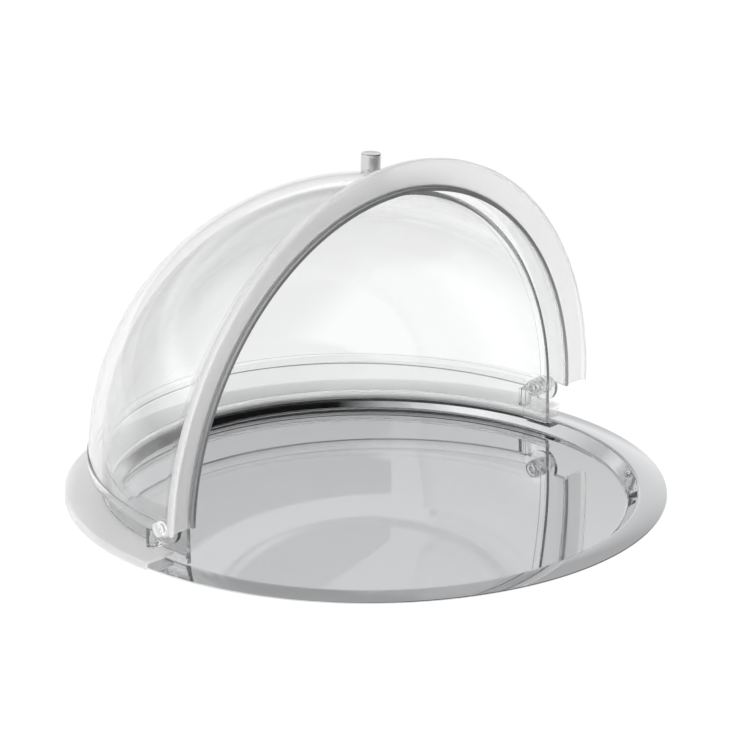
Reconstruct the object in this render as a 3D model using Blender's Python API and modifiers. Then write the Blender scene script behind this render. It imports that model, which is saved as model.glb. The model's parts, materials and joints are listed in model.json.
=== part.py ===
"""Round serving tray with a two-piece clear roll-top dome.

The frame: the origin is the centre of the tray's flat underside, +Z is up, X runs along the
hood's pivot axis and -Y is the front, the side that the hood opens. The hood stands open.
"""

from math import acos, asin, cos, degrees, pi, radians, sin, sqrt

import bmesh
import bpy

mm = 0.001
clearance = 0.3 * mm  # between pieces that touch

# Tray: one sheet with a shallow round dish and a wide, nearly flat rim.
tray_radius = 190.0 * mm
sheet = 1.0 * mm
dish_depth = 7.6 * mm
rim_width = 17.9 * mm
rim_rise = 0.5 * mm
dish_wall_run = 7.1 * mm
dish_fillet = 3.0 * mm

# Flange that both covers share: a channel upside down over the tray's rim.
edge_gap = 1.5 * mm
lip_wall = 2.0 * mm
flange_wall = 2.0 * mm
flange_height = 4.9 * mm
lip_drop = 0.2 * mm
flange_fillet = 1.6 * mm
rim_gap = 0.35 * mm

# Covers: two nested shells about the pivot axis.
pivot_height = 22.6 * mm  # above the rim's outer edge
rear_inset = 2.9 * mm  # from the rim's inner edge in to the rear shell
rear_wall = 2.2 * mm
rear_swell = 1.0 * mm
rear_foot_drop = 0.8 * mm
shell_gap = 6.3 * mm
hood_wall = 2.5 * mm
hood_foot_inset = 1.7 * mm
hood_foot_taper = 0.9 * mm

# Edges of the two covers, measured from the pivot axis with the hood closed.
rear_front_edge = 10.0 * mm
rear_flange_start = 0.5 * mm
hood_trail_edge = 4.8 * mm
hood_flange_end = 5.0 * mm
hood_ear_radius = 11.0 * mm
rear_pad_half_width = 10.0 * mm
rear_pad_depth = 0.6 * mm
open_angle = 88.0

# Pivots: a headed sleeve from the inside and a domed screw from the outside.
sleeve_radius = 3.5 * mm
sleeve_bore = 2.3 * mm
sleeve_head_radius = 6.2 * mm
sleeve_head = 2.0 * mm
head_ring_depth = 0.5 * mm
head_rings = (0.25, 0.32, 0.55, 0.62, 0.80, 0.87)  # ring edges, as shares of the head's radius
head_chamfer = 0.4 * mm
washer_radius = 6.8 * mm
spacer_radius = 6.4 * mm
washer = 0.8 * mm
screw_radius = 2.0 * mm
screw_head_radius = 6.0 * mm
screw_head = 5.0 * mm
screw_length = 12.0 * mm
dome_skirt = 0.3  # share of a domed head's height that stands straight

# Knob and what holds it to the hood.
knob_radius = 6.3 * mm
knob_neck_radius = 4.6 * mm
knob_neck = 2.8 * mm
knob_length = 15.7 * mm
knob_chamfer = 0.7 * mm
knob_rise = 4.4 * mm  # above the pivot's height, with the hood closed
knob_bore = 2.3 * mm
knob_bore_depth = 10.5 * mm
knob_screw_radius = 2.0 * mm
knob_screw_head = 1.8 * mm
knob_screw_head_radius = 3.6 * mm
knob_screw_reach = 9.0 * mm
gasket = 0.6 * mm
gasket_radius = 5.4 * mm
knob_washer = 0.6 * mm
knob_washer_radius = 4.6 * mm

# Stops that the open hood's rear edge lies on.
stop_start = 10.5 * mm
stop_length = 6.5 * mm
stop_width = 7.0 * mm
stop_bevel = 0.6 * mm

ring_steps = 72  # round the tray and the covers
small_steps = 24  # round the small pieces
shell_steps = 16  # from a cover's pole down to its pivot
fillet_steps = 4
ear_steps = 14
far = 300.0 * mm  # half of a cutter that has to reach past everything
hole_cut = 14.0 * mm  # length of a cutter through one wall

# Places worked out from the sizes above.
floor_top = sheet
edge_z = floor_top + dish_depth
rim_inner_radius = tray_radius - rim_width
rim_inner_z = edge_z + rim_rise
dish_radius = rim_inner_radius - dish_wall_run
pivot_z = edge_z + pivot_height
flange_radius = tray_radius + edge_gap + lip_wall
flange_top = edge_z + flange_height
flange_under = flange_top - flange_wall
lip_bottom = edge_z - lip_drop
rear_radius = rim_inner_radius - rear_inset
rear_inner_radius = rear_radius - rear_wall
hood_inner_radius = rear_radius + shell_gap
hood_radius = hood_inner_radius + hood_wall
hood_foot_bottom = rim_inner_z + rim_gap
hood_foot_radius = rim_inner_radius + hood_foot_inset - hood_foot_taper
hood_wall_slope = (hood_inner_radius - hood_foot_radius) / (pivot_z - hood_foot_bottom)
rear_wall_slope = rear_swell / (pivot_z - flange_top)
ear_hole_radius = sleeve_radius + clearance

parts = bpy.data.collections.new("roll_top_serving_tray")
cutters = bpy.data.collections.new("cutters")


def clear_scene():
    for obj in list(bpy.data.objects):
        bpy.data.objects.remove(obj, do_unlink=True)
    for collection in (parts, cutters):
        bpy.context.scene.collection.children.link(collection)


def make_material(name, colour, roughness, metallic=0.0, transmission=0.0):
    material = bpy.data.materials.new(name)
    material.use_nodes = True
    shader = material.node_tree.nodes["Principled BSDF"]
    shader.inputs["Base Color"].default_value = (*colour, 1.0)
    shader.inputs["Roughness"].default_value = roughness
    shader.inputs["Metallic"].default_value = metallic
    shader.inputs["Transmission Weight"].default_value = transmission
    return material


def add_object(name, mesh, material=None, parent=None, collection=parts):
    obj = bpy.data.objects.new(name, mesh)
    collection.objects.link(obj)
    if material:
        mesh.materials.append(material)
    obj.parent = parent
    if collection is cutters:
        obj.hide_render = True
        obj.display_type = "WIRE"
    return obj


def arc(centre, radius, start, end, steps):
    """Points on an arc in a profile's plane, angles in degrees, both ends included."""
    turns = [radians(start + (end - start) * i / steps) for i in range(steps + 1)]
    return [(centre[0] + radius * cos(t), centre[1] + radius * sin(t)) for t in turns]


def turned(name, profile, steps, material=None, parent=None, closed=True):
    """A profile of (radius, height) points, turned about the object's Z axis.

    A closed profile starts and ends off the axis; an open one starts and ends on it.
    """
    mesh = bpy.data.meshes.new(name)
    bm = bmesh.new()
    points = [bm.verts.new((r, 0.0, z)) for r, z in profile]
    for first, second in zip(points, points[1:]):
        bm.edges.new((first, second))
    if closed:
        bm.edges.new((points[-1], points[0]))
    bm.to_mesh(mesh)
    bm.free()
    obj = add_object(name, mesh, material, parent)
    screw = obj.modifiers.new("Turn", "SCREW")
    screw.axis = "Z"
    screw.angle = 2 * pi
    screw.steps = steps
    screw.render_steps = steps
    screw.use_merge_vertices = True
    screw.merge_threshold = 0.00001
    screw.use_smooth_shade = True
    return obj


def boolean(obj, cutter, operation):
    modifier = obj.modifiers.new(cutter.name, "BOOLEAN")
    modifier.operation = operation
    modifier.object = cutter
    modifier.solver = "EXACT"


def cutter_box(name, low, high):
    bm = bmesh.new()
    bmesh.ops.create_cube(bm, size=1.0)
    size = [h - l for l, h in zip(low, high)]
    middle = [(h + l) / 2 for l, h in zip(low, high)]
    bmesh.ops.scale(bm, vec=size, verts=bm.verts)
    bmesh.ops.translate(bm, vec=middle, verts=bm.verts)
    mesh = bpy.data.meshes.new(name)
    bm.to_mesh(mesh)
    bm.free()
    return add_object(name, mesh, collection=cutters)


def cutter_rod(name, centre, radius, axis, parent=None):
    """A cylinder along X or Y, for a round hole through one wall."""
    bm = bmesh.new()
    bmesh.ops.create_cone(
        bm, cap_ends=True, segments=small_steps, radius1=radius, radius2=radius, depth=hole_cut
    )
    mesh = bpy.data.meshes.new(name)
    bm.to_mesh(mesh)
    bm.free()
    obj = add_object(name, mesh, parent=parent, collection=cutters)
    obj.location = centre
    obj.rotation_euler = (0.0, pi / 2, 0.0) if axis == "X" else (pi / 2, 0.0, 0.0)
    return obj


def prism_along_x(name, outline, low_x, high_x, parent=None, collection=cutters):
    """A closed outline of (y, z) points as a 2D curve, extruded between two X places."""
    curve = bpy.data.curves.new(name, "CURVE")
    curve.dimensions = "2D"
    curve.fill_mode = "BOTH"
    curve.extrude = (high_x - low_x) / 2
    spline = curve.splines.new("POLY")
    spline.points.add(len(outline) - 1)
    for point, (y, z) in zip(spline.points, outline):
        point.co = (y, z, 0.0, 1.0)
    spline.use_cyclic_u = True
    guide = bpy.data.objects.new(name + "_outline", curve)
    bpy.context.scene.collection.objects.link(guide)
    bpy.context.view_layer.update()
    graph = bpy.context.evaluated_depsgraph_get()
    mesh = bpy.data.meshes.new_from_object(guide.evaluated_get(graph))
    bpy.data.objects.remove(guide, do_unlink=True)
    bm = bmesh.new()
    bm.from_mesh(mesh)
    bmesh.ops.remove_doubles(bm, verts=bm.verts, dist=0.000001)
    for vert in bm.verts:
        y, z, x = vert.co
        vert.co = (x + (low_x + high_x) / 2, y, z)
    bmesh.ops.recalc_face_normals(bm, faces=bm.faces)
    bm.to_mesh(mesh)
    bm.free()
    return add_object(name, mesh, parent=parent, collection=collection)


def shade_round(obj, angle=35.0):
    obj.data.shade_smooth()
    obj.data.set_sharp_from_angle(angle=radians(angle))


# Tray


def dish_section():
    """The sheet's top line from the rim's edge in to the centre, as (radius, height)."""
    slope = degrees(asin((rim_inner_z - floor_top) / sqrt(
        (rim_inner_z - floor_top) ** 2 + dish_wall_run**2)))
    # Each fillet is tangent to the wall and to the flat that it joins.
    reach = dish_fillet * sin(radians(slope / 2)) / cos(radians(slope / 2))
    upper = (rim_inner_radius + reach, rim_inner_z - dish_fillet)
    lower = (dish_radius - reach, floor_top + dish_fillet)
    top = arc(upper, dish_fillet, 90, 90 + slope, fillet_steps)
    bottom = arc(lower, dish_fillet, slope - 90, -90, fillet_steps)
    return [(tray_radius, edge_z), *top, *bottom, (0.0, floor_top)]


def add_tray(material):
    line = dish_section()
    # The sheet's lower line is its upper one moved straight down by the sheet's thickness.
    under = [(r, z - sheet) for r, z in line]
    tray = turned("tray", line[::-1] + under, ring_steps, material, closed=False)
    shade_round(tray)
    return tray


# Covers


def cover_section(outer, inner, wall_at_flange, foot_outer, foot_inner, foot_bottom):
    """A cover's whole section: dome, ring wall, flange, lip and foot, from pole to pole."""
    dome = arc((0.0, pivot_z), outer, 90, 0, shell_steps)
    edge_centre = (flange_radius - flange_fillet, flange_top - flange_fillet)
    round_edge = arc(edge_centre, flange_fillet, 90, 0, fillet_steps)
    lip = [(flange_radius, lip_bottom), (flange_radius - lip_wall, lip_bottom)]
    channel = [(flange_radius - lip_wall, flange_under), (foot_outer, flange_under)]
    foot = [(foot_outer, foot_bottom), (foot_inner, foot_bottom)]
    inside = arc((0.0, pivot_z), inner, 0, 90, shell_steps)
    dome[0] = (0.0, pivot_z + outer)
    inside[-1] = (0.0, pivot_z + inner)
    return [*dome, (wall_at_flange, flange_top), *round_edge, *lip, *channel, *foot, *inside]


def add_rear_cover(material):
    section = cover_section(
        outer=rear_radius,
        inner=rear_inner_radius,
        wall_at_flange=rear_radius + rear_swell,
        foot_outer=rear_radius + rear_swell / 2,
        foot_inner=rear_radius + rear_swell / 2 - rear_wall,
        foot_bottom=edge_z - rear_foot_drop,
    )
    cover = turned("rear_cover", section, ring_steps, material, closed=False)
    keep = cutter_box("rear_keep", (-far, -rear_front_edge, -far), (far, far, far))
    boolean(cover, keep, "INTERSECT")
    # The flange stops behind the pivot axis, while the ear runs on to the front edge.
    start = rear_radius + rear_swell + clearance
    for side, name in ((-1, "left"), (1, "right")):
        ends = sorted((side * start, side * far))
        notch = cutter_box(
            "rear_flange_notch_" + name,
            (ends[0], -far, -far),
            (ends[1], rear_flange_start, flange_top + clearance),
        )
        boolean(cover, notch, "DIFFERENCE")
        pad_face = rear_inner_radius - rear_pad_depth
        pad = prism_along_x(
            "rear_pad_" + name,
            pad_outline(),
            *sorted((side * pad_face, side * (rear_inner_radius + rear_wall / 2))),
        )
        boolean(cover, pad, "UNION")
        place = (side * rear_radius, 0.0, pivot_z)
        hole = cutter_rod("rear_hole_" + name, place, ear_hole_radius, "X")
        boolean(cover, hole, "DIFFERENCE")
    shade_round(cover)
    return cover


def pad_outline():
    """The flat pad inside each rear ear: straight sides with a round top about the pivot."""
    half = rear_pad_half_width
    bottom = edge_z - rear_foot_drop
    return [(half, bottom), *arc((0.0, pivot_z), half, 0, 180, ear_steps), (-half, bottom)]


def hood_outline():
    """What is kept of the closed hood's turned shell, with a round ear about the pivot."""
    low = -degrees(acos(-hood_flange_end / hood_ear_radius))
    high = degrees(acos(hood_trail_edge / hood_ear_radius))
    ear = arc((0.0, 0.0), hood_ear_radius, low, high, ear_steps)
    return [(-far, -far), (-hood_flange_end, -far), *ear, (hood_trail_edge, far), (-far, far)]


def add_hood(material, hinge):
    section = cover_section(
        outer=hood_radius,
        inner=hood_inner_radius,
        wall_at_flange=hood_foot_radius + hood_foot_taper + hood_wall,
        foot_outer=hood_foot_radius + hood_wall,
        foot_inner=hood_foot_radius,
        foot_bottom=hood_foot_bottom,
    )
    section = [(r, z - pivot_z) for r, z in section]
    hood = turned("hood", section, ring_steps, material, hinge, closed=False)
    boolean(hood, prism_along_x("hood_keep", hood_outline(), -far, far, hinge), "INTERSECT")
    for side, name in ((-1, "left"), (1, "right")):
        place = (side * hood_radius, 0.0, 0.0)
        hole = cutter_rod("hood_hole_" + name, place, ear_hole_radius, "X", hinge)
        boolean(hood, hole, "DIFFERENCE")
    place = (0.0, -hood_radius, knob_rise)
    knob_hole = cutter_rod("knob_hole", place, knob_bore, "Y", hinge)
    boolean(hood, knob_hole, "DIFFERENCE")
    shade_round(hood)
    return hood


# Pivots


def ring_section(inner, outer, low, high):
    return [(outer, high), (outer, low), (inner, low), (inner, high)]


def sleeve_section(length):
    """The headed sleeve, its head's face at height 0 and its open end up at `length`."""
    # The head's face steps down and up across its rings, starting low in the middle.
    depths = [head_ring_depth, 0.0, 0.0, head_ring_depth, head_ring_depth, 0.0]
    face = [(sleeve_head_radius * share, depth) for share, depth in zip(head_rings, depths)]
    rim = [(sleeve_head_radius - head_chamfer, 0.0), (sleeve_head_radius, head_chamfer)]
    rings = [(0.0, head_ring_depth), *face, *rim]
    shank = [(sleeve_head_radius, sleeve_head), (sleeve_radius, sleeve_head)]
    bore_floor = sleeve_head + clearance
    end = [(sleeve_radius, length), (sleeve_bore, length)]
    bore = [(sleeve_bore, bore_floor), (0.0, bore_floor)]
    return (rings + shank + end + bore)[::-1]


def domed_screw_section(head_radius, head, shank_radius, shank, steps):
    """A low domed head standing up from height 0, with a plain shank below."""
    dome = [
        (head_radius * cos(t), head * (dome_skirt + (1 - dome_skirt) * sin(t)))
        for t in (pi / 2 * (1 - i / steps) for i in range(steps + 1))
    ]
    dome[0] = (0.0, head)
    return [*dome, (head_radius, 0.0), (shank_radius, 0.0), (shank_radius, -shank), (0.0, -shank)]


def add_pivot(side, name, clear, steel):
    """Everything on one side's pivot, from the sleeve's head inside to the screw outside."""
    mount = bpy.data.objects.new("pivot_" + name, None)
    parts.objects.link(mount)
    mount.location = (0.0, 0.0, pivot_z)
    mount.rotation_euler = (0.0, side * pi / 2, 0.0)  # its Z now points outwards

    pad_face = rear_inner_radius - rear_pad_depth
    inner_washer = pad_face - clearance - washer
    head_face = inner_washer - clearance - sleeve_head
    # Below the pivot the rear wall leans out and the hood's leans in, so the spacer is shorter.
    spacer_low = rear_radius + rear_wall_slope * spacer_radius + clearance
    spacer_high = hood_inner_radius - hood_wall_slope * spacer_radius - clearance
    outer_washer = hood_radius + clearance
    sleeve_end = outer_washer + washer + clearance
    screw_seat = sleeve_end + clearance

    sleeve = turned(
        "pivot_sleeve_" + name,
        sleeve_section(sleeve_end - head_face),
        small_steps,
        clear,
        mount,
        closed=False,
    )
    sleeve.location.z = head_face
    hole = sleeve_radius + clearance
    turned(
        "pivot_inner_washer_" + name,
        ring_section(hole, washer_radius, inner_washer, inner_washer + washer),
        small_steps,
        clear,
        mount,
    )
    turned(
        "pivot_spacer_" + name,
        ring_section(hole, spacer_radius, spacer_low, spacer_high),
        small_steps,
        clear,
        mount,
    )
    turned(
        "pivot_outer_washer_" + name,
        ring_section(hole, washer_radius, outer_washer, outer_washer + washer),
        small_steps,
        clear,
        mount,
    )
    screw = turned(
        "pivot_screw_" + name,
        domed_screw_section(screw_head_radius, screw_head, screw_radius, screw_length, 6),
        small_steps,
        steel,
        mount,
        closed=False,
    )
    screw.location.z = screw_seat


# Knob


def knob_section():
    body = knob_length - knob_chamfer
    return [
        (0.0, knob_length),
        (knob_radius - knob_chamfer, knob_length),
        (knob_radius, body),
        (knob_radius, knob_neck + knob_chamfer),
        (knob_radius - knob_chamfer, knob_neck),
        (knob_neck_radius, knob_neck),
        (knob_neck_radius, 0.0),
        (knob_bore, 0.0),
        (knob_bore, knob_bore_depth),
        (0.0, knob_bore_depth),
    ]


def add_knob(chrome, steel, soft, hinge):
    mount = bpy.data.objects.new("knob_axis", None)
    parts.objects.link(mount)
    mount.parent = hinge
    mount.location = (0.0, 0.0, knob_rise)
    mount.rotation_euler = (pi / 2, 0.0, 0.0)  # its Z now points to the closed hood's front

    outer_gasket = hood_radius + clearance
    knob_seat = outer_gasket + gasket + clearance
    # The dome curves in above the pivot's height, so the gasket's upper edge meets it first.
    # Its flat facets dip inside the true curve, both from pole to pivot and round the axis.
    wall_reach = sqrt(hood_inner_radius**2 - (knob_rise + gasket_radius) ** 2)
    facet_dip = hood_inner_radius * (2 - cos(pi / 4 / shell_steps) - cos(pi / ring_steps))
    inner_gasket = wall_reach - facet_dip - clearance - gasket
    washer_seat = inner_gasket - clearance - knob_washer
    screw_seat = washer_seat - clearance

    knob = turned("knob", knob_section(), small_steps, chrome, mount, closed=False)
    knob.location.z = knob_seat
    hole = knob_screw_radius + clearance
    for name, low, thickness, radius, material in (
        ("knob_outer_gasket", outer_gasket, gasket, gasket_radius, soft),
        ("knob_inner_gasket", inner_gasket, gasket, gasket_radius, soft),
        ("knob_washer", washer_seat, knob_washer, knob_washer_radius, steel),
    ):
        section = ring_section(hole, radius, low, low + thickness)
        turned(name, section, small_steps, material, mount)
    shank = knob_seat + knob_screw_reach - screw_seat
    section = domed_screw_section(
        knob_screw_head_radius, knob_screw_head, knob_screw_radius, shank, 4
    )
    screw = turned("knob_screw", section, small_steps, steel, mount, closed=False)
    screw.location.z = screw_seat
    screw.rotation_euler = (pi, 0.0, 0.0)  # its head points in, towards the dome's centre


# Stops


def add_stop(side, name, material):
    wall = rear_radius + rear_swell
    low_x = wall + clearance
    bm = bmesh.new()
    bmesh.ops.create_cube(bm, size=1.0)
    bottom = flange_top + clearance
    top = pivot_z - hood_trail_edge - clearance
    bmesh.ops.scale(bm, vec=(stop_width, stop_length, top - bottom), verts=bm.verts)
    mesh = bpy.data.meshes.new("hood_stop_" + name)
    bm.to_mesh(mesh)
    bm.free()
    stop = add_object("hood_stop_" + name, mesh, material)
    stop.location = (
        side * (low_x + stop_width / 2),
        stop_start + stop_length / 2,
        (top + bottom) / 2,
    )
    bevel = stop.modifiers.new("Edges", "BEVEL")
    bevel.width = stop_bevel
    bevel.segments = 2


def main():
    clear_scene()
    mirror_steel = make_material("mirror_steel", (0.78, 0.78, 0.79), 0.04, metallic=1.0)
    clear_shell = make_material("clear_shell", (0.93, 0.94, 0.94), 0.05, transmission=1.0)
    clear_fitting = make_material("clear_fitting", (0.88, 0.88, 0.86), 0.15, transmission=0.8)
    white_fitting = make_material("white_fitting", (0.90, 0.90, 0.88), 0.3)
    chrome = make_material("chrome", (0.80, 0.80, 0.80), 0.06, metallic=1.0)
    screw_steel = make_material("screw_steel", (0.62, 0.62, 0.63), 0.3, metallic=1.0)
    soft_clear = make_material("soft_clear", (0.80, 0.80, 0.78), 0.5)

    add_tray(mirror_steel)
    add_rear_cover(clear_shell)
    hinge = bpy.data.objects.new("hood_hinge", None)
    parts.objects.link(hinge)
    hinge.location = (0.0, 0.0, pivot_z)
    hinge.rotation_euler = (-radians(open_angle), 0.0, 0.0)
    add_hood(clear_shell, hinge)
    add_knob(chrome, screw_steel, soft_clear, hinge)
    for side, name in ((-1, "left"), (1, "right")):
        add_pivot(side, name, clear_fitting, white_fitting)
        add_stop(side, name, clear_fitting)


main()
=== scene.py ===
import json
from math import acos, atan2, cos, degrees, pi, radians, sin, tan

import bmesh
import bpy
from mathutils import Matrix, Vector


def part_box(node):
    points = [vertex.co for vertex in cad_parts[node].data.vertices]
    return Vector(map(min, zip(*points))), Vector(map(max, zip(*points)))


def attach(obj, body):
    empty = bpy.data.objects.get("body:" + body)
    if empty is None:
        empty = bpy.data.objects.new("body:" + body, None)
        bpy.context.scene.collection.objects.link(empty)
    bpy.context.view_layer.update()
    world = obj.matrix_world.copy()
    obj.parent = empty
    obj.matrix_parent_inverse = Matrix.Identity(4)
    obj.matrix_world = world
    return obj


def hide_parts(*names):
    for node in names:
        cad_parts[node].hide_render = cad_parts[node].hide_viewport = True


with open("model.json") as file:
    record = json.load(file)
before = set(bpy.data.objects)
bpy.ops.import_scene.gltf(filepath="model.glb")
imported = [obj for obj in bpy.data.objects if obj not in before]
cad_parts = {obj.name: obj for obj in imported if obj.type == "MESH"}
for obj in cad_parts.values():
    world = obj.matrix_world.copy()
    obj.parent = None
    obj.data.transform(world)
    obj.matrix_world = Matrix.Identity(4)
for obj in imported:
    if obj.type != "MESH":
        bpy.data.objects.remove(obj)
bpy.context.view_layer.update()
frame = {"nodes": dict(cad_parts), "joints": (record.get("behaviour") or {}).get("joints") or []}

mm = 0.001

# the hinge line and the tray's size, which the pieces share, come from the frame
hinge = next(j for j in frame["joints"] if j["name"] == "hood_hinge")
pivot = Vector(hinge["pos_m"])
openAngle = radians(hinge["range_deg"][1])
trayLow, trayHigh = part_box("tray")

# opens what is modelled on the closed hood
swing = Matrix.Translation(pivot) @ Matrix.Rotation(-openAngle, 4, "X") @ Matrix.Translation(-pivot)
print("frame loaded")


# helpers for making pieces

def arcPoints(centre, radius, start, end, steps):
    turns = [radians(start + (end - start) * i / steps) for i in range(steps + 1)]
    return [(centre[0] + radius * cos(t), centre[1] + radius * sin(t)) for t in turns]


def softLine(corners, steps=5):
    # corners are (radius, height) or (radius, height, fillet); each fillet is tangent to both sides
    line = []
    for i, corner in enumerate(corners):
        here = Vector(corner[:2])
        if len(corner) == 2 or i in (0, len(corners) - 1):
            line.append(tuple(here))
            continue
        before = (Vector(corners[i - 1][:2]) - here).normalized()
        after = (Vector(corners[i + 1][:2]) - here).normalized()
        half = before.angle(after) / 2
        centre = here + (before + after).normalized() * corner[2] / sin(half)
        first = here + before * corner[2] / tan(half) - centre
        last = here + after * corner[2] / tan(half) - centre
        start = atan2(first.y, first.x)
        sweep = (atan2(last.y, last.x) - start + pi) % (2 * pi) - pi
        line += arcPoints(centre, corner[2], degrees(start), degrees(start + sweep), steps)
    return line


def meshFrom(name, bm):
    mesh = bpy.data.meshes.new(name)
    bm.to_mesh(mesh)
    bm.free()
    return mesh


def spunMesh(name, line, steps, axis=(0, 0, 1), turn=2 * pi, closed=False):
    # the line lies in the XZ plane for a turn about Z, and in the XY plane for a turn about Y
    bm = bmesh.new()
    upright = axis[2] > 0.5
    verts = [bm.verts.new((r, 0, h) if upright else (r, h, 0)) for r, h in line]
    edges = [bm.edges.new(pair) for pair in zip(verts, verts[1:])]
    if closed:
        edges.append(bm.edges.new((verts[-1], verts[0])))
    full = abs(turn - 2 * pi) < 0.001
    bmesh.ops.spin(
        bm, geom=verts + edges, cent=(0, 0, 0), axis=axis, angle=turn, steps=steps, use_merge=full
    )
    bmesh.ops.remove_doubles(bm, verts=bm.verts, dist=0.001 * mm)
    if not full:
        rims = [e for e in bm.edges if e.is_boundary]
        bmesh.ops.holes_fill(bm, edges=rims)
    bmesh.ops.recalc_face_normals(bm, faces=bm.faces)
    return meshFrom(name, bm)


def boxMesh(low, high):
    bm = bmesh.new()
    bmesh.ops.create_cube(bm, size=1)
    bmesh.ops.scale(bm, vec=[b - a for a, b in zip(low, high)], verts=bm.verts)
    bmesh.ops.translate(bm, vec=[(b + a) / 2 for a, b in zip(low, high)], verts=bm.verts)
    return meshFrom("box", bm)


def prismMesh(outline, lowX, highX):
    # an outline of (y, height) points, extruded along X
    bm = bmesh.new()
    face = bm.faces.new([bm.verts.new((lowX, y, z)) for y, z in outline])
    grown = bmesh.ops.extrude_face_region(bm, geom=[face])
    moved = [v for v in grown["geom"] if isinstance(v, bmesh.types.BMVert)]
    bmesh.ops.translate(bm, vec=(highX - lowX, 0, 0), verts=moved)
    bmesh.ops.recalc_face_normals(bm, faces=bm.faces)
    return meshFrom("prism", bm)


def drillMesh(centre, radius, axis):
    # a rod along X or Y, long enough to go through any wall
    bm = bmesh.new()
    bmesh.ops.create_cone(
        bm, cap_ends=True, segments=64, radius1=radius, radius2=radius, depth=drillLength
    )
    turn = Matrix.Rotation(pi / 2, 3, "Y" if axis == "X" else "X")
    bmesh.ops.rotate(bm, cent=(0, 0, 0), matrix=turn, verts=bm.verts)
    bmesh.ops.translate(bm, vec=centre, verts=bm.verts)
    return meshFrom("drill", bm)


def addPiece(name, mesh):
    piece = bpy.data.objects.new(name, mesh)
    bpy.context.scene.collection.objects.link(piece)
    return piece


def carve(piece, mesh, operation):
    # joins a shape to a piece or cuts it out, and keeps only the result
    tool = addPiece("tool", mesh)
    change = piece.modifiers.new("Carve", "BOOLEAN")
    change.operation = operation
    change.solver = "EXACT"
    change.object = tool
    bpy.context.view_layer.update()
    graph = bpy.context.evaluated_depsgraph_get()
    made = bpy.data.meshes.new_from_object(piece.evaluated_get(graph))
    piece.modifiers.clear()
    piece.data = made
    bpy.data.objects.remove(tool, do_unlink=True)


def soften(piece, angle):
    piece.data.shade_smooth()
    piece.data.set_sharp_from_angle(angle=radians(angle))


def finishShell(piece):
    # cleans up after the cuts
    bm = bmesh.new()
    bm.from_mesh(piece.data)
    bmesh.ops.remove_doubles(bm, verts=bm.verts, dist=0.02 * mm)
    bmesh.ops.dissolve_degenerate(bm, edges=bm.edges, dist=0.005 * mm)
    bm.to_mesh(piece.data)
    bm.free()
    soften(piece, cover["smoothAngle"])


def place(piece, move):
    piece.data.transform(move)
    piece.data.update()


def castNoShadow(piece):
    # clear pieces and a bright floor look best with no shadow on the floor
    piece.visible_shadow = False
    piece.visible_diffuse = False


def dress(piece, finishes, body, slot, *nodes):
    piece.data.materials.clear()
    for finish in finishes:
        piece.data.materials.append(finish)
    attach(piece, body)
    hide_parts(*nodes)


# materials

# "rough" is the least and most roughness, "grain" is how fine its patches are
steel = {"colour": (0.66, 0.665, 0.675), "rough": (0.02, 0.05), "grain": 14, "detail": 4}
plastic = {"colour": (0.996, 0.998, 0.998), "ior": 1.52, "rough": (0.0, 0.03), "grain": 9}
milky = {
    "frostedPlastic": {"colour": (0.905, 0.905, 0.903), "clear": 0.8, "rough": (0.3, 0.45), "grain": 700},
    # the edge plastic's dark grey is painted shade: the dark line along the hood's cut edge and foot
    "edgePlastic": {"colour": (0.26, 0.265, 0.275), "clear": 0.6, "rough": (0.3, 0.45), "grain": 500},
    "skirtPlastic": {"colour": (0.84, 0.845, 0.85), "clear": 0.97, "rough": (0.02, 0.06), "grain": 60},
    # the sawn plastic is rougher for its sawn face, and its darker grey is painted shade along the rear
    # cover's cut edge
    "sawnPlastic": {"colour": (0.5, 0.505, 0.51), "clear": 0.7, "rough": (0.25, 0.4), "grain": 500},
    "clearFitting": {"colour": (0.97, 0.98, 0.98), "clear": 0.95, "rough": (0.02, 0.1), "grain": 300},
    "whiteFitting": {"colour": (0.95, 0.95, 0.94), "clear": 0.75, "rough": (0.03, 0.12), "grain": 300},
    "softGasket": {"colour": (0.88, 0.88, 0.86), "clear": 0.5, "rough": (0.3, 0.5), "grain": 300},
}
milkyIor = 1.5
metal = {
    "chromePlate": {"colour": (0.66, 0.66, 0.67), "rough": (0.03, 0.07), "grain": 400},
    "screwSteel": {"colour": (0.62, 0.62, 0.63), "rough": (0.22, 0.35), "grain": 400},
}


def newMaterial(name):
    material = bpy.data.materials.new(name)
    material.use_nodes = True
    nodes = material.node_tree.nodes
    return material, nodes, material.node_tree.links, nodes["Principled BSDF"]


def spread(nodes, links, source, low, high, fromLow=0.35, fromHigh=0.65):
    reach = nodes.new("ShaderNodeMapRange")
    reach.inputs["From Min"].default_value = fromLow
    reach.inputs["From Max"].default_value = fromHigh
    reach.inputs["To Min"].default_value = low
    reach.inputs["To Max"].default_value = high
    links.new(source, reach.inputs["Value"])
    return reach.outputs["Result"]


def unevenGloss(nodes, links, shader, values):
    # soft patches of a little more and a little less haze
    spot = nodes.new("ShaderNodeTexCoord")
    noise = nodes.new("ShaderNodeTexNoise")
    noise.inputs["Scale"].default_value = values["grain"]
    noise.inputs["Detail"].default_value = values.get("detail", 3)
    links.new(spot.outputs["Object"], noise.inputs["Vector"])
    haze = spread(nodes, links, noise.outputs["Fac"], *values["rough"])
    links.new(haze, shader.inputs["Roughness"])


def polishedMetal(name, values):
    material, nodes, links, shader = newMaterial(name)
    shader.inputs["Base Color"].default_value = (*values["colour"], 1)
    shader.inputs["Metallic"].default_value = 1.0
    unevenGloss(nodes, links, shader, values)
    return material


def seeThrough(name, values, clear, ior):
    material, nodes, links, shader = newMaterial(name)
    shader.inputs["Base Color"].default_value = (*values["colour"], 1)
    shader.inputs["Transmission Weight"].default_value = clear
    shader.inputs["IOR"].default_value = ior
    unevenGloss(nodes, links, shader, values)
    return material


def milkyPlastic(name):
    return seeThrough(name, milky[name], milky[name]["clear"], milkyIor)


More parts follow.
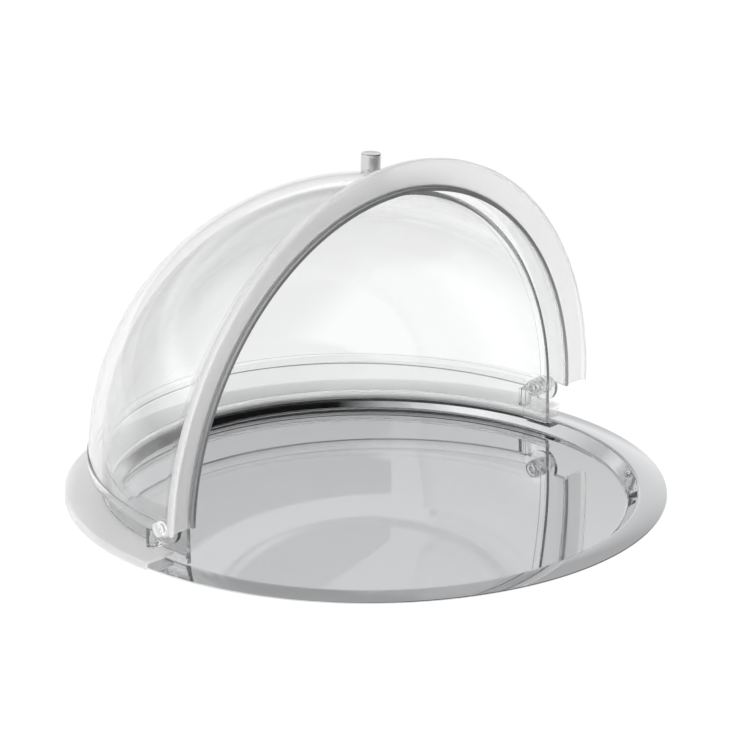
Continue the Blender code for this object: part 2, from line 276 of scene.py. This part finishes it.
trayFinish = polishedMetal("mirrorSteel", steel)
shellFinish = seeThrough("clearPlastic", plastic, 1.0, plastic["ior"])
frostFinish = milkyPlastic("frostedPlastic")
shadedEdgeFinish = milkyPlastic("edgePlastic")
skirtFinish = milkyPlastic("skirtPlastic")
sawnShadedFinish = milkyPlastic("sawnPlastic")
fittingFinish = milkyPlastic("clearFitting")
whiteFinish = milkyPlastic("whiteFitting")
gasketFinish = milkyPlastic("softGasket")
chromeFinish = polishedMetal("chromePlate", metal["chromePlate"])
screwFinish = polishedMetal("screwSteel", metal["screwSteel"])
print("materials ready")


# tray

tray = {
    "sheet": 1.0 * mm, "rimEdge": 8.6 * mm, "rimInner": 172.1 * mm, "rimRise": 9.1 * mm,
    "dish": 165.0 * mm, "fillet": 3.0 * mm, "lipSoft": 0.45 * mm, "steps": 288, "filletSteps": 8,
    "smoothAngle": 40,
}


def makeTray():
    radius, sheet = trayHigh.x, tray["sheet"]
    floor = trayLow.z
    # top side from the centre out to the rim's edge, then the underside back in
    line = softLine([
        (0, floor + sheet),
        (tray["dish"], floor + sheet, tray["fillet"]),
        (tray["rimInner"], floor + tray["rimRise"], tray["fillet"]),
        (radius, floor + tray["rimEdge"], tray["lipSoft"]),
        (radius, floor + tray["rimEdge"] - sheet, tray["lipSoft"]),
        (tray["rimInner"], floor + tray["rimRise"] - sheet, tray["fillet"]),
        (tray["dish"], floor, tray["fillet"]),
        (0, floor),
    ], tray["filletSteps"])
    piece = addPiece("trayDish", spunMesh("trayDish", line, tray["steps"]))
    soften(piece, tray["smoothAngle"])
    castNoShadow(piece)
    dress(piece, [trayFinish], "tray_body", "mirror_steel", "tray")


makeTray()
print("tray made")


# covers

cover = {
    "flange": 193.5 * mm, "flangeTop": 13.5 * mm, "flangeUnder": 11.5 * mm,
    "lipBottom": 8.4 * mm, "lipInner": 191.5 * mm, "edge": 1.6 * mm, "soft": 0.4 * mm,
    "neckSoft": 0.8 * mm, "bandSoft": 0.3 * mm, "bandSink": 0.6 * mm, "hole": 3.8 * mm,
    "rings": 256, "domeSteps": 72, "bandSteps": 192, "smoothAngle": 32,
}
rear = {
    "outer": 169.2 * mm, "inner": 167.0 * mm, "wallAtFlange": 170.2 * mm, "footOuter": 169.7 * mm,
    "footInner": 167.5 * mm, "footBottom": 7.8 * mm, "frontEdge": -10.0 * mm, "flangeStart": 0.5 * mm,
    "notchInner": 170.5 * mm, "notchOver": 0.3 * mm, "padHalf": 10.0 * mm, "padFace": 166.4 * mm,
    "padSink": 1.1 * mm, "bandWidth": 6.5 * mm, "bandRise": 0.8 * mm, "domeEnd": 3.0, "darkBelow": 0.0,
}
hood = {
    "outer": 178.0 * mm, "inner": 175.5 * mm, "wallAtFlange": 176.3 * mm, "footOuter": 175.4 * mm,
    "footInner": 172.9 * mm, "footBottom": 9.45 * mm, "trailEdge": 4.8 * mm, "flangeEnd": -5.0 * mm,
    "earRadius": 11.0 * mm, "bandWidth": 7.2 * mm, "bandRise": 0.7 * mm, "domeEnd": -1.5,
    # below this height the hood's foot is painted dark grey as painted shade
    "darkBelow": 11.4 * mm,
}
# how far a face may lie from the flange, the cut or the pivot and still take their finish
finishReach = {"beside": 0.6 * mm, "above": 0.1 * mm, "cut": 0.3 * mm, "underPivot": 1 * mm}
far = 300 * mm
drillLength = 14 * mm


def coverLine(values):
    # outer side from the pole down, round the flange, lip and foot, and up the inner side
    outside = arcPoints((0, pivot.z), values["outer"], 90, values["domeEnd"], cover["domeSteps"])
    inside = arcPoints((0, pivot.z), values["inner"], values["domeEnd"] / 2, 90, cover["domeSteps"])
    outside[0] = (0, pivot.z + values["outer"])
    inside[-1] = (0, pivot.z + values["inner"])
    soft = cover["soft"]
    skirt = softLine([
        outside[-1],
        (values["wallAtFlange"], cover["flangeTop"], cover["neckSoft"]),
        (cover["flange"], cover["flangeTop"], cover["edge"]),
        (cover["flange"], cover["lipBottom"], soft),
        (cover["lipInner"], cover["lipBottom"], soft),
        (cover["lipInner"], cover["flangeUnder"], soft),
        (values["footOuter"], cover["flangeUnder"], soft),
        (values["footOuter"], values["footBottom"], soft),
        (values["footInner"], values["footBottom"], soft),
        inside[0],
    ])
    return outside[:-1] + skirt + inside[1:]


def sortFaces(piece, values, cut, facing):
    # 1 is the frosted flange and lip, 2 the greyer skirt and 3 the sawn edge or foot, in a darker grey that
    # is painted shade for the dark line seen along the clear plastic's edge
    inner = values["footOuter"] + finishReach["beside"]
    top = cover["flangeTop"] + finishReach["above"]
    for face in piece.data.polygons:
        spot, out = face.center, face.normal
        wide = (spot.x ** 2 + spot.y ** 2) ** 0.5 > inner
        sawn = out.y * facing > 0.9 and abs(spot.y - cut) < finishReach["cut"]
        if wide and spot.z < top:
            face.material_index = 1
        # the cut edge and the foot get the darker grey, which is painted shade
        elif sawn or spot.z < values["darkBelow"]:
            face.material_index = 3
        elif spot.z < pivot.z - finishReach["underPivot"]:
            face.material_index = 2


def bandMesh(values, low, high):
    # a raised band between two planes across Y, turned about Y from one side over the top
    outer, rise, soft, sink = values["outer"], values["bandRise"], cover["bandSoft"], cover["bandSink"]

    def onShell(y, extra):
        return ((outer + extra) ** 2 - y * y) ** 0.5

    line = softLine([
        (onShell(low, -sink), low),
        (onShell(low, rise), low, soft),
        (onShell(high, rise), high, soft),
        (onShell(high, -sink), high),
    ])
    mesh = spunMesh("band", line, cover["bandSteps"], (0, -1, 0), pi, closed=True)
    mesh.transform(Matrix.Translation(pivot))
    return mesh


def drillPivot(piece, values, side):
    centre = (side * values["outer"], 0, pivot.z)
    carve(piece, drillMesh(centre, cover["hole"], "X"), "DIFFERENCE")


def makeRear():
    piece = addPiece("rearCoverShell", spunMesh("rearCoverShell", coverLine(rear), cover["rings"]))
    carve(piece, boxMesh((-far, rear["frontEdge"], -far), (far, far, far)), "INTERSECT")
    top = cover["flangeTop"] + rear["notchOver"]
    half, bottom = rear["padHalf"], rear["footBottom"]
    padOutline = [(half, bottom), *arcPoints((0, pivot.z), half, 0, 180, 40), (-half, bottom)]
    for side in (-1, 1):
        # the flange stops short of the ear, which carries a flat pad for the pivot
        ends = sorted((side * rear["notchInner"], side * far))
        notch = boxMesh((ends[0], -far, -far), (ends[1], rear["flangeStart"], top))
        carve(piece, notch, "DIFFERENCE")
        ends = sorted((side * rear["padFace"], side * (rear["inner"] + rear["padSink"])))
        carve(piece, prismMesh(padOutline, *ends), "UNION")
        drillPivot(piece, rear, side)
    low, high = rear["frontEdge"], rear["frontEdge"] + rear["bandWidth"]
    carve(piece, bandMesh(rear, low, high), "UNION")
    finishShell(piece)
    castNoShadow(piece)
    finishes = [shellFinish, frostFinish, skirtFinish, sawnShadedFinish]
    dress(piece, finishes, "cover_body", "clear_cover", "rear_cover")
    sortFaces(piece, rear, rear["frontEdge"], -1)


def makeHood():
    # modelled closed, and swung open at the end
    piece = addPiece("hoodShell", spunMesh("hoodShell", coverLine(hood), cover["rings"]))
    ear = hood["earRadius"]
    low = -degrees(acos(hood["flangeEnd"] / ear))
    high = degrees(acos(hood["trailEdge"] / ear))
    lobe = arcPoints((0, pivot.z), ear, low, high, 48)
    outline = [(-far, -far), (hood["flangeEnd"], -far), *lobe, (hood["trailEdge"], far), (-far, far)]
    carve(piece, prismMesh(outline, -far, far), "INTERSECT")
    for side in (-1, 1):
        drillPivot(piece, hood, side)
    knobHole = (0, -hood["outer"], pivot.z + knob["rise"])
    carve(piece, drillMesh(knobHole, knob["bore"], "Y"), "DIFFERENCE")
    carve(piece, bandMesh(hood, hood["trailEdge"] - hood["bandWidth"], hood["trailEdge"]), "UNION")
    finishShell(piece)
    castNoShadow(piece)
    finishes = [shellFinish, frostFinish, skirtFinish, shadedEdgeFinish]
    dress(piece, finishes, "hood_body", "clear_cover", "hood")
    sortFaces(piece, hood, hood["trailEdge"], 1)
    place(piece, swing)


# knob

knob = {
    "seat": 179.2 * mm, "radius": 6.3 * mm, "length": 15.7 * mm, "neck": 2.8 * mm,
    "neckRadius": 4.6 * mm, "bore": 2.3 * mm, "boreDepth": 10.5 * mm, "rise": 4.4 * mm,
    "soft": 0.7 * mm, "neckSoft": 0.2 * mm, "steps": 96, "smoothAngle": 40,
}


def makeKnob():
    radius, length, neck, soft = knob["radius"], knob["length"], knob["neck"], knob["soft"]
    line = softLine([
        (0, length),
        (radius, length, soft),
        (radius, neck, soft / 2),
        (knob["neckRadius"], neck, knob["neckSoft"]),
        (knob["neckRadius"], 0, knob["neckSoft"]),
        (knob["bore"], 0),
        (knob["bore"], knob["boreDepth"]),
        (0, knob["boreDepth"]),
    ])
    piece = addPiece("knobBody", spunMesh("knobBody", line, knob["steps"]))
    outward = Matrix.Translation((0, -knob["seat"], pivot.z + knob["rise"])) @ Matrix.Rotation(pi / 2, 4, "X")
    place(piece, swing @ outward)
    soften(piece, knob["smoothAngle"])
    dress(piece, [chromeFinish], "hood_body", "chrome", "knob")


# pivots

fitting = {
    "ring": 6.2 * mm, "spacer": 6.0 * mm, "hole": 3.8 * mm, "shank": 3.5 * mm, "bore": 2.3 * mm,
    "head": 5.5 * mm, "headThick": 2.0 * mm, "screwHead": 4.4 * mm, "screwRise": 5.0 * mm,
    "screwFlat": 0.75, "screwShank": 2.0 * mm, "soft": 0.25 * mm, "steps": 64, "domeSteps": 16,
    "smoothAngle": 40,
    # grooves round the sleeve's head, at shares of its radius
    "ringDepth": 0.5 * mm, "rings": (0.25, 0.32, 0.55, 0.62, 0.80, 0.87),
}


def reachOf(node):
    # how far from the middle a node on a pivot starts and ends
    low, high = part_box(node)
    return sorted((abs(low.x), abs(high.x)))


def addFitting(name, line, side, node, finish, slot):
    piece = addPiece(name, spunMesh(name, line, fitting["steps"]))
    place(piece, Matrix.Translation(pivot) @ Matrix.Rotation(side * pi / 2, 4, "Y"))
    soften(piece, fitting["smoothAngle"])
    castNoShadow(piece)
    dress(piece, [finish], "cover_body", slot, node)


def ringLine(inner, outer, low, high):
    soft = fitting["soft"]
    return softLine([
        (inner, low), (inner, high), (outer, high, soft), (outer, low, soft), (inner, low)
    ])


def makeSleeve(side, name):
    node = "pivot_sleeve_" + name
    face, end = reachOf(node)
    soft, bore, shank = fitting["soft"], fitting["bore"], fitting["shank"]
    head, deep = fitting["head"], face + fitting["ringDepth"]
    levels = (deep, face, face, deep, deep, face)
    rings = [(head * share, level) for share, level in zip(fitting["rings"], levels)]
    seat = face + fitting["headThick"]
    line = softLine([
        (0, seat + soft), (bore, seat + soft), (bore, end), (shank, end, soft),
        (shank, seat), (head, seat, soft), (head, face, 2 * soft), *reversed(rings), (0, deep),
    ])
    addFitting("sleeve" + name.title(), line, side, node, fittingFinish, "clear_fitting")


def makeScrew(side, name):
    node = "pivot_screw_" + name
    inner, outer = reachOf(node)
    rise, flat, radius = fitting["screwRise"], fitting["screwFlat"], fitting["screwHead"]
    shank, steps = fitting["screwShank"], fitting["domeSteps"]
    rim = outer - rise
    turns = [pi / 2 * i / steps for i in range(steps)]
    dome = [(radius * cos(t), rim + rise * (flat + (1 - flat) * sin(t))) for t in turns]
    line = [(0, inner), (shank, inner), (shank, rim), (radius, rim), *dome, (0, outer)]
    addFitting("screw" + name.title(), line[::-1], side, node, whiteFinish, "white_fitting")


def makePivot(side, name):
    for part, outer in (("inner_washer", "ring"), ("spacer", "spacer"), ("outer_washer", "ring")):
        node = "pivot_" + part + "_" + name
        line = ringLine(fitting["hole"], fitting[outer], *reachOf(node))
        addFitting(part.replace("_", "") + name.title(), line, side, node, fittingFinish, "clear_fitting")
    makeSleeve(side, name)
    makeScrew(side, name)


makeRear()
print("rear cover made")
makeHood()
print("hood made")
makeKnob()
for side, name in ((-1, "left"), (1, "right")):
    makePivot(side, name)
print("knob and pivots made")

# the rest of the frame's pieces are kept and only get a finish
for name, node in frame["nodes"].items():
    if node.hide_render:
        continue
    finish = shellFinish if "stop" in name else fittingFinish
    if name in ("knob_screw", "knob_washer"):
        finish = screwFinish
    if name.startswith("knob_") and "gasket" in name:
        finish = gasketFinish
    node.data.materials.clear()
    node.data.materials.append(finish)
    castNoShadow(node)
print("small pieces finished")


# floor, light and camera

view = {
    "lens": 128.0, "azimuth": -47.27, "elevation": 18.75, "distance": 1684.1 * mm,
    "target": (2.71 * mm, -2.93 * mm, 81.79 * mm), "roll": -0.07, "sensor": 36, "clipEnd": 100,
}
studio = {"floor": (0.93, 0.93, 0.93), "reach": 12.0, "gap": 0.05 * mm, "rough": 0.9, "gloss": 0.1}
# the walls' tones are stops of (height, brightness), where 0 is level and 1 straight up
room = {
    "behind": ((0.26, 0.78), (0.30, 1.12), (0.36, 0.88), (0.42, 0.55), (0.70, 0.62), (0.94, 0.1)),
    "front": ((0.0, 1.0), (0.91, 1.0), (0.95, 0.1), (1.0, 0.1)), "blend": 0.25,
    "dark": 0.0, "darkHeight": 45, "darkEdge": (0.60, 0.76),
    "glow": 1.7, "glowHeight": 40, "glowEdge": (0.80, 0.95),
}
lamp = {"power": 1.92, "softness": 100, "tilt": (8, -12)}
card = {"turn": 50, "away": 0.32, "long": 1.15, "low": 0.04, "high": 0.23, "tone": 0.02, "rough": 0.9}


def makeFloor():
    bm = bmesh.new()
    bmesh.ops.create_grid(bm, x_segments=1, y_segments=1, size=studio["reach"])
    bmesh.ops.translate(bm, vec=(0, 0, trayLow.z - studio["gap"]), verts=bm.verts)
    floor = addPiece("floor", meshFrom("floor", bm))
    material, nodes, links, shader = newMaterial("floorPaint")
    shader.inputs["Base Color"].default_value = (*studio["floor"], 1)
    shader.inputs["Roughness"].default_value = studio["rough"]
    shader.inputs["Specular IOR Level"].default_value = studio["gloss"]
    floor.data.materials.append(material)


def towards(nodes, links, spot, direction):
    # 1 where the room lies in this direction, and -1 where it lies opposite
    dot = nodes.new("ShaderNodeVectorMath")
    dot.operation = "DOT_PRODUCT"
    dot.inputs[1].default_value = direction
    links.new(spot.outputs["Generated"], dot.inputs[0])
    return dot.outputs["Value"]


def makeWorld():
    # a white room with a dim ceiling, and darker behind the tray than in front of it
    world = bpy.data.worlds.new("studio")
    world.use_nodes = True
    bpy.context.scene.world = world
    nodes, links = world.node_tree.nodes, world.node_tree.links
    spot = nodes.new("ShaderNodeTexCoord")
    split = nodes.new("ShaderNodeSeparateXYZ")
    links.new(spot.outputs["Generated"], split.inputs["Vector"])
    turn = radians(view["azimuth"])
    forward = towards(nodes, links, spot, (sin(turn), -cos(turn), 0))
    mix = nodes.new("ShaderNodeMix")
    mix.data_type = "RGBA"
    links.new(spread(nodes, links, forward, 0, 1, -room["blend"], room["blend"]), mix.inputs["Factor"])
    # sockets 6 and 7 are the mix's two colours, and 2 is the colour that comes out
    for socket, side in ((mix.inputs[6], "behind"), (mix.inputs[7], "front")):
        ramp = nodes.new("ShaderNodeValToRGB")
        stops = ramp.color_ramp.elements
        for height, tone in room[side][2:]:
            stops.new(height)
        for stop, (height, tone) in zip(stops, room[side]):
            stop.position = height
            stop.color = (tone, tone, tone, 1)
        links.new(split.outputs["Z"], ramp.inputs["Fac"])
        links.new(ramp.outputs["Color"], socket)
    # a dark corner high on the right and a bright window high on the left
    both = nodes.new("ShaderNodeMath")
    both.operation = "MULTIPLY"
    for i, (side, name) in enumerate(((1, "dark"), (-1, "glow"))):
        height = radians(room[name + "Height"])
        aim = (side * cos(turn) * cos(height), side * sin(turn) * cos(height), sin(height))
        patch = towards(nodes, links, spot, aim)
        links.new(spread(nodes, links, patch, 1, room[name], *room[name + "Edge"]), both.inputs[i])
    links.new(mix.outputs[2], nodes["Background"].inputs["Color"])
    links.new(both.outputs["Value"], nodes["Background"].inputs["Strength"])


def makeCard():
    # a dark card on the right, which only reflections see
    bm = bmesh.new()
    bmesh.ops.create_grid(bm, x_segments=1, y_segments=1, size=0.5)
    bmesh.ops.scale(bm, vec=(card["long"], card["high"] - card["low"], 1), verts=bm.verts)
    bmesh.ops.rotate(bm, cent=(0, 0, 0), matrix=Matrix.Rotation(pi / 2, 3, "X"), verts=bm.verts)
    bmesh.ops.translate(bm, vec=(0, -card["away"], (card["high"] + card["low"]) / 2), verts=bm.verts)
    turn = Matrix.Rotation(radians(view["azimuth"] + card["turn"]), 3, "Z")
    bmesh.ops.rotate(bm, cent=(0, 0, 0), matrix=turn, verts=bm.verts)
    board = addPiece("darkCard", meshFrom("darkCard", bm))
    material, nodes, links, shader = newMaterial("cardPaint")
    shader.inputs["Base Color"].default_value = (card["tone"],) * 3 + (1,)
    shader.inputs["Roughness"].default_value = card["rough"]
    path = nodes.new("ShaderNodeLightPath")
    links.new(path.outputs["Glossy Depth"], shader.inputs["Alpha"])
    board.data.materials.append(material)
    board.visible_camera = False
    castNoShadow(board)


def makeLamp():
    # an even light that only matt surfaces see
    light = bpy.data.objects.new("ceilingLight", bpy.data.lights.new("ceilingLight", "SUN"))
    bpy.context.scene.collection.objects.link(light)
    light.data.energy = lamp["power"]
    light.data.angle = radians(lamp["softness"])
    light.rotation_euler = (*[radians(t) for t in lamp["tilt"]], 0)
    light.visible_glossy = False
    light.visible_transmission = False


def makeCamera():
    camera = bpy.data.objects.new("camera", bpy.data.cameras.new("camera"))
    bpy.context.scene.collection.objects.link(camera)
    camera.data.lens = view["lens"]
    camera.data.sensor_width = view["sensor"]
    camera.data.clip_end = view["clipEnd"]
    a, e = radians(view["azimuth"]), radians(view["elevation"])
    back = Vector((sin(a) * cos(e), -cos(a) * cos(e), sin(e)))
    camera.location = Vector(view["target"]) + back * view["distance"]
    turn = (-back).to_track_quat("-Z", "Y").to_matrix() @ Matrix.Rotation(radians(view["roll"]), 3, "Z")
    camera.rotation_euler = turn.to_euler()
    bpy.context.scene.camera = camera


makeFloor()
makeWorld()
makeLamp()
makeCard()
makeCamera()
bpy.context.scene.view_settings.view_transform = "Standard"
print("studio set")
